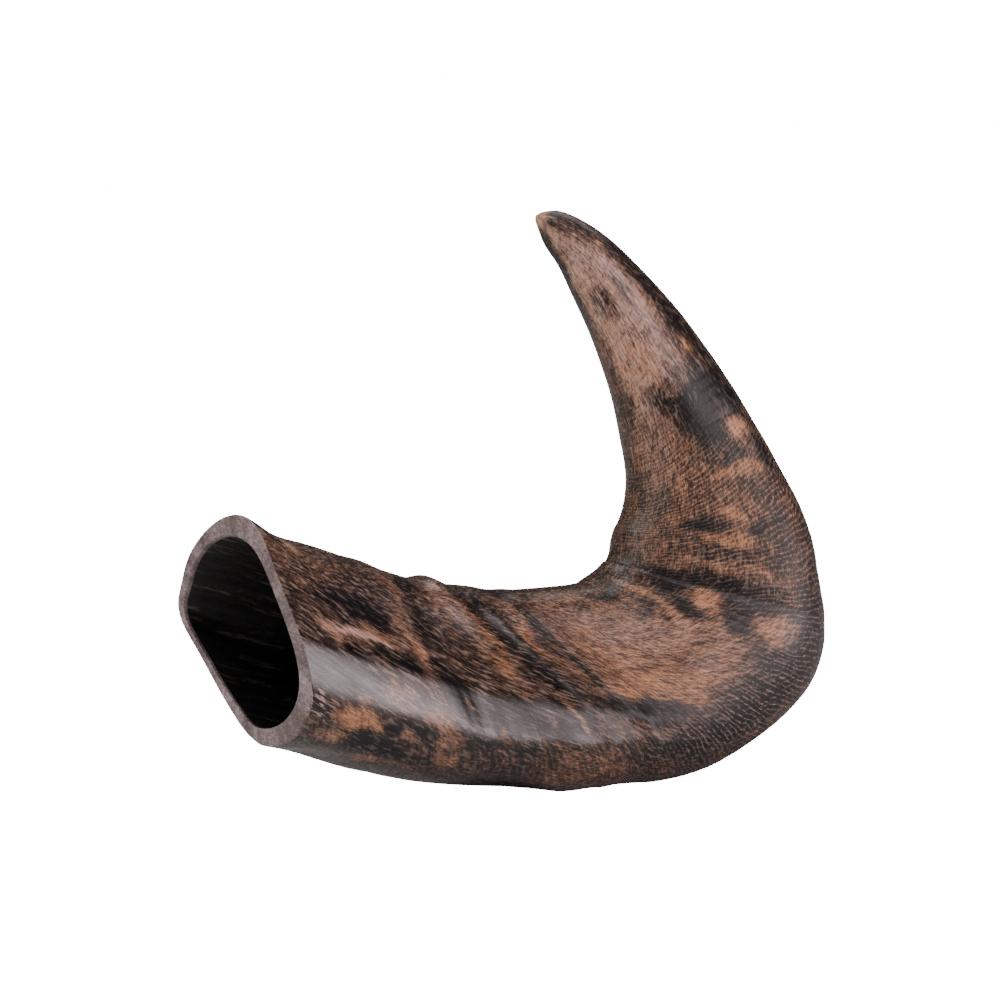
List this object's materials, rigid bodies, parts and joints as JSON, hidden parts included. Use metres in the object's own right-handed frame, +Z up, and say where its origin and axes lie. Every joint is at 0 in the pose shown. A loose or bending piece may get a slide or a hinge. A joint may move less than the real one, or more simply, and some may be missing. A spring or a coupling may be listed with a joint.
{
  "type": "shofar",
  "caption": "Polished hollow animal horn with a sawn open mouth, one strong bend and a solid tapering arm with a closed blunt tip, standing on a small flat on its belly.",
  "frame": {"origin": "middle of the small flat on the underside of the bend, on which the horn stands", "axes": "+Z up, tip up; +X from the sawn mouth towards the bend, along the longest side of the bounding box; +Y away from the side that shows the mouth"},
  "size_m": [0.2173, 0.1521, 0.1913],
  "materials": {
    "dark_horn": "polished keratin, dark brown to black with tan patches",
    "banded_horn": "polished keratin, dark with brown growth bands",
    "brown_horn": "polished keratin, fibrous tan brown over dark",
    "pale_horn": "polished keratin, brown with pale flecks, cream at the tip"
  },
  "bodies": {
    "root": {"mouth_cone": "dark_horn", "ridge_cone": "banded_horn", "groove_cone": "banded_horn", "bend_cone": "brown_horn", "arm_cone": "brown_horn", "tip_cone": "pale_horn"}
  },
  "joints": []
}
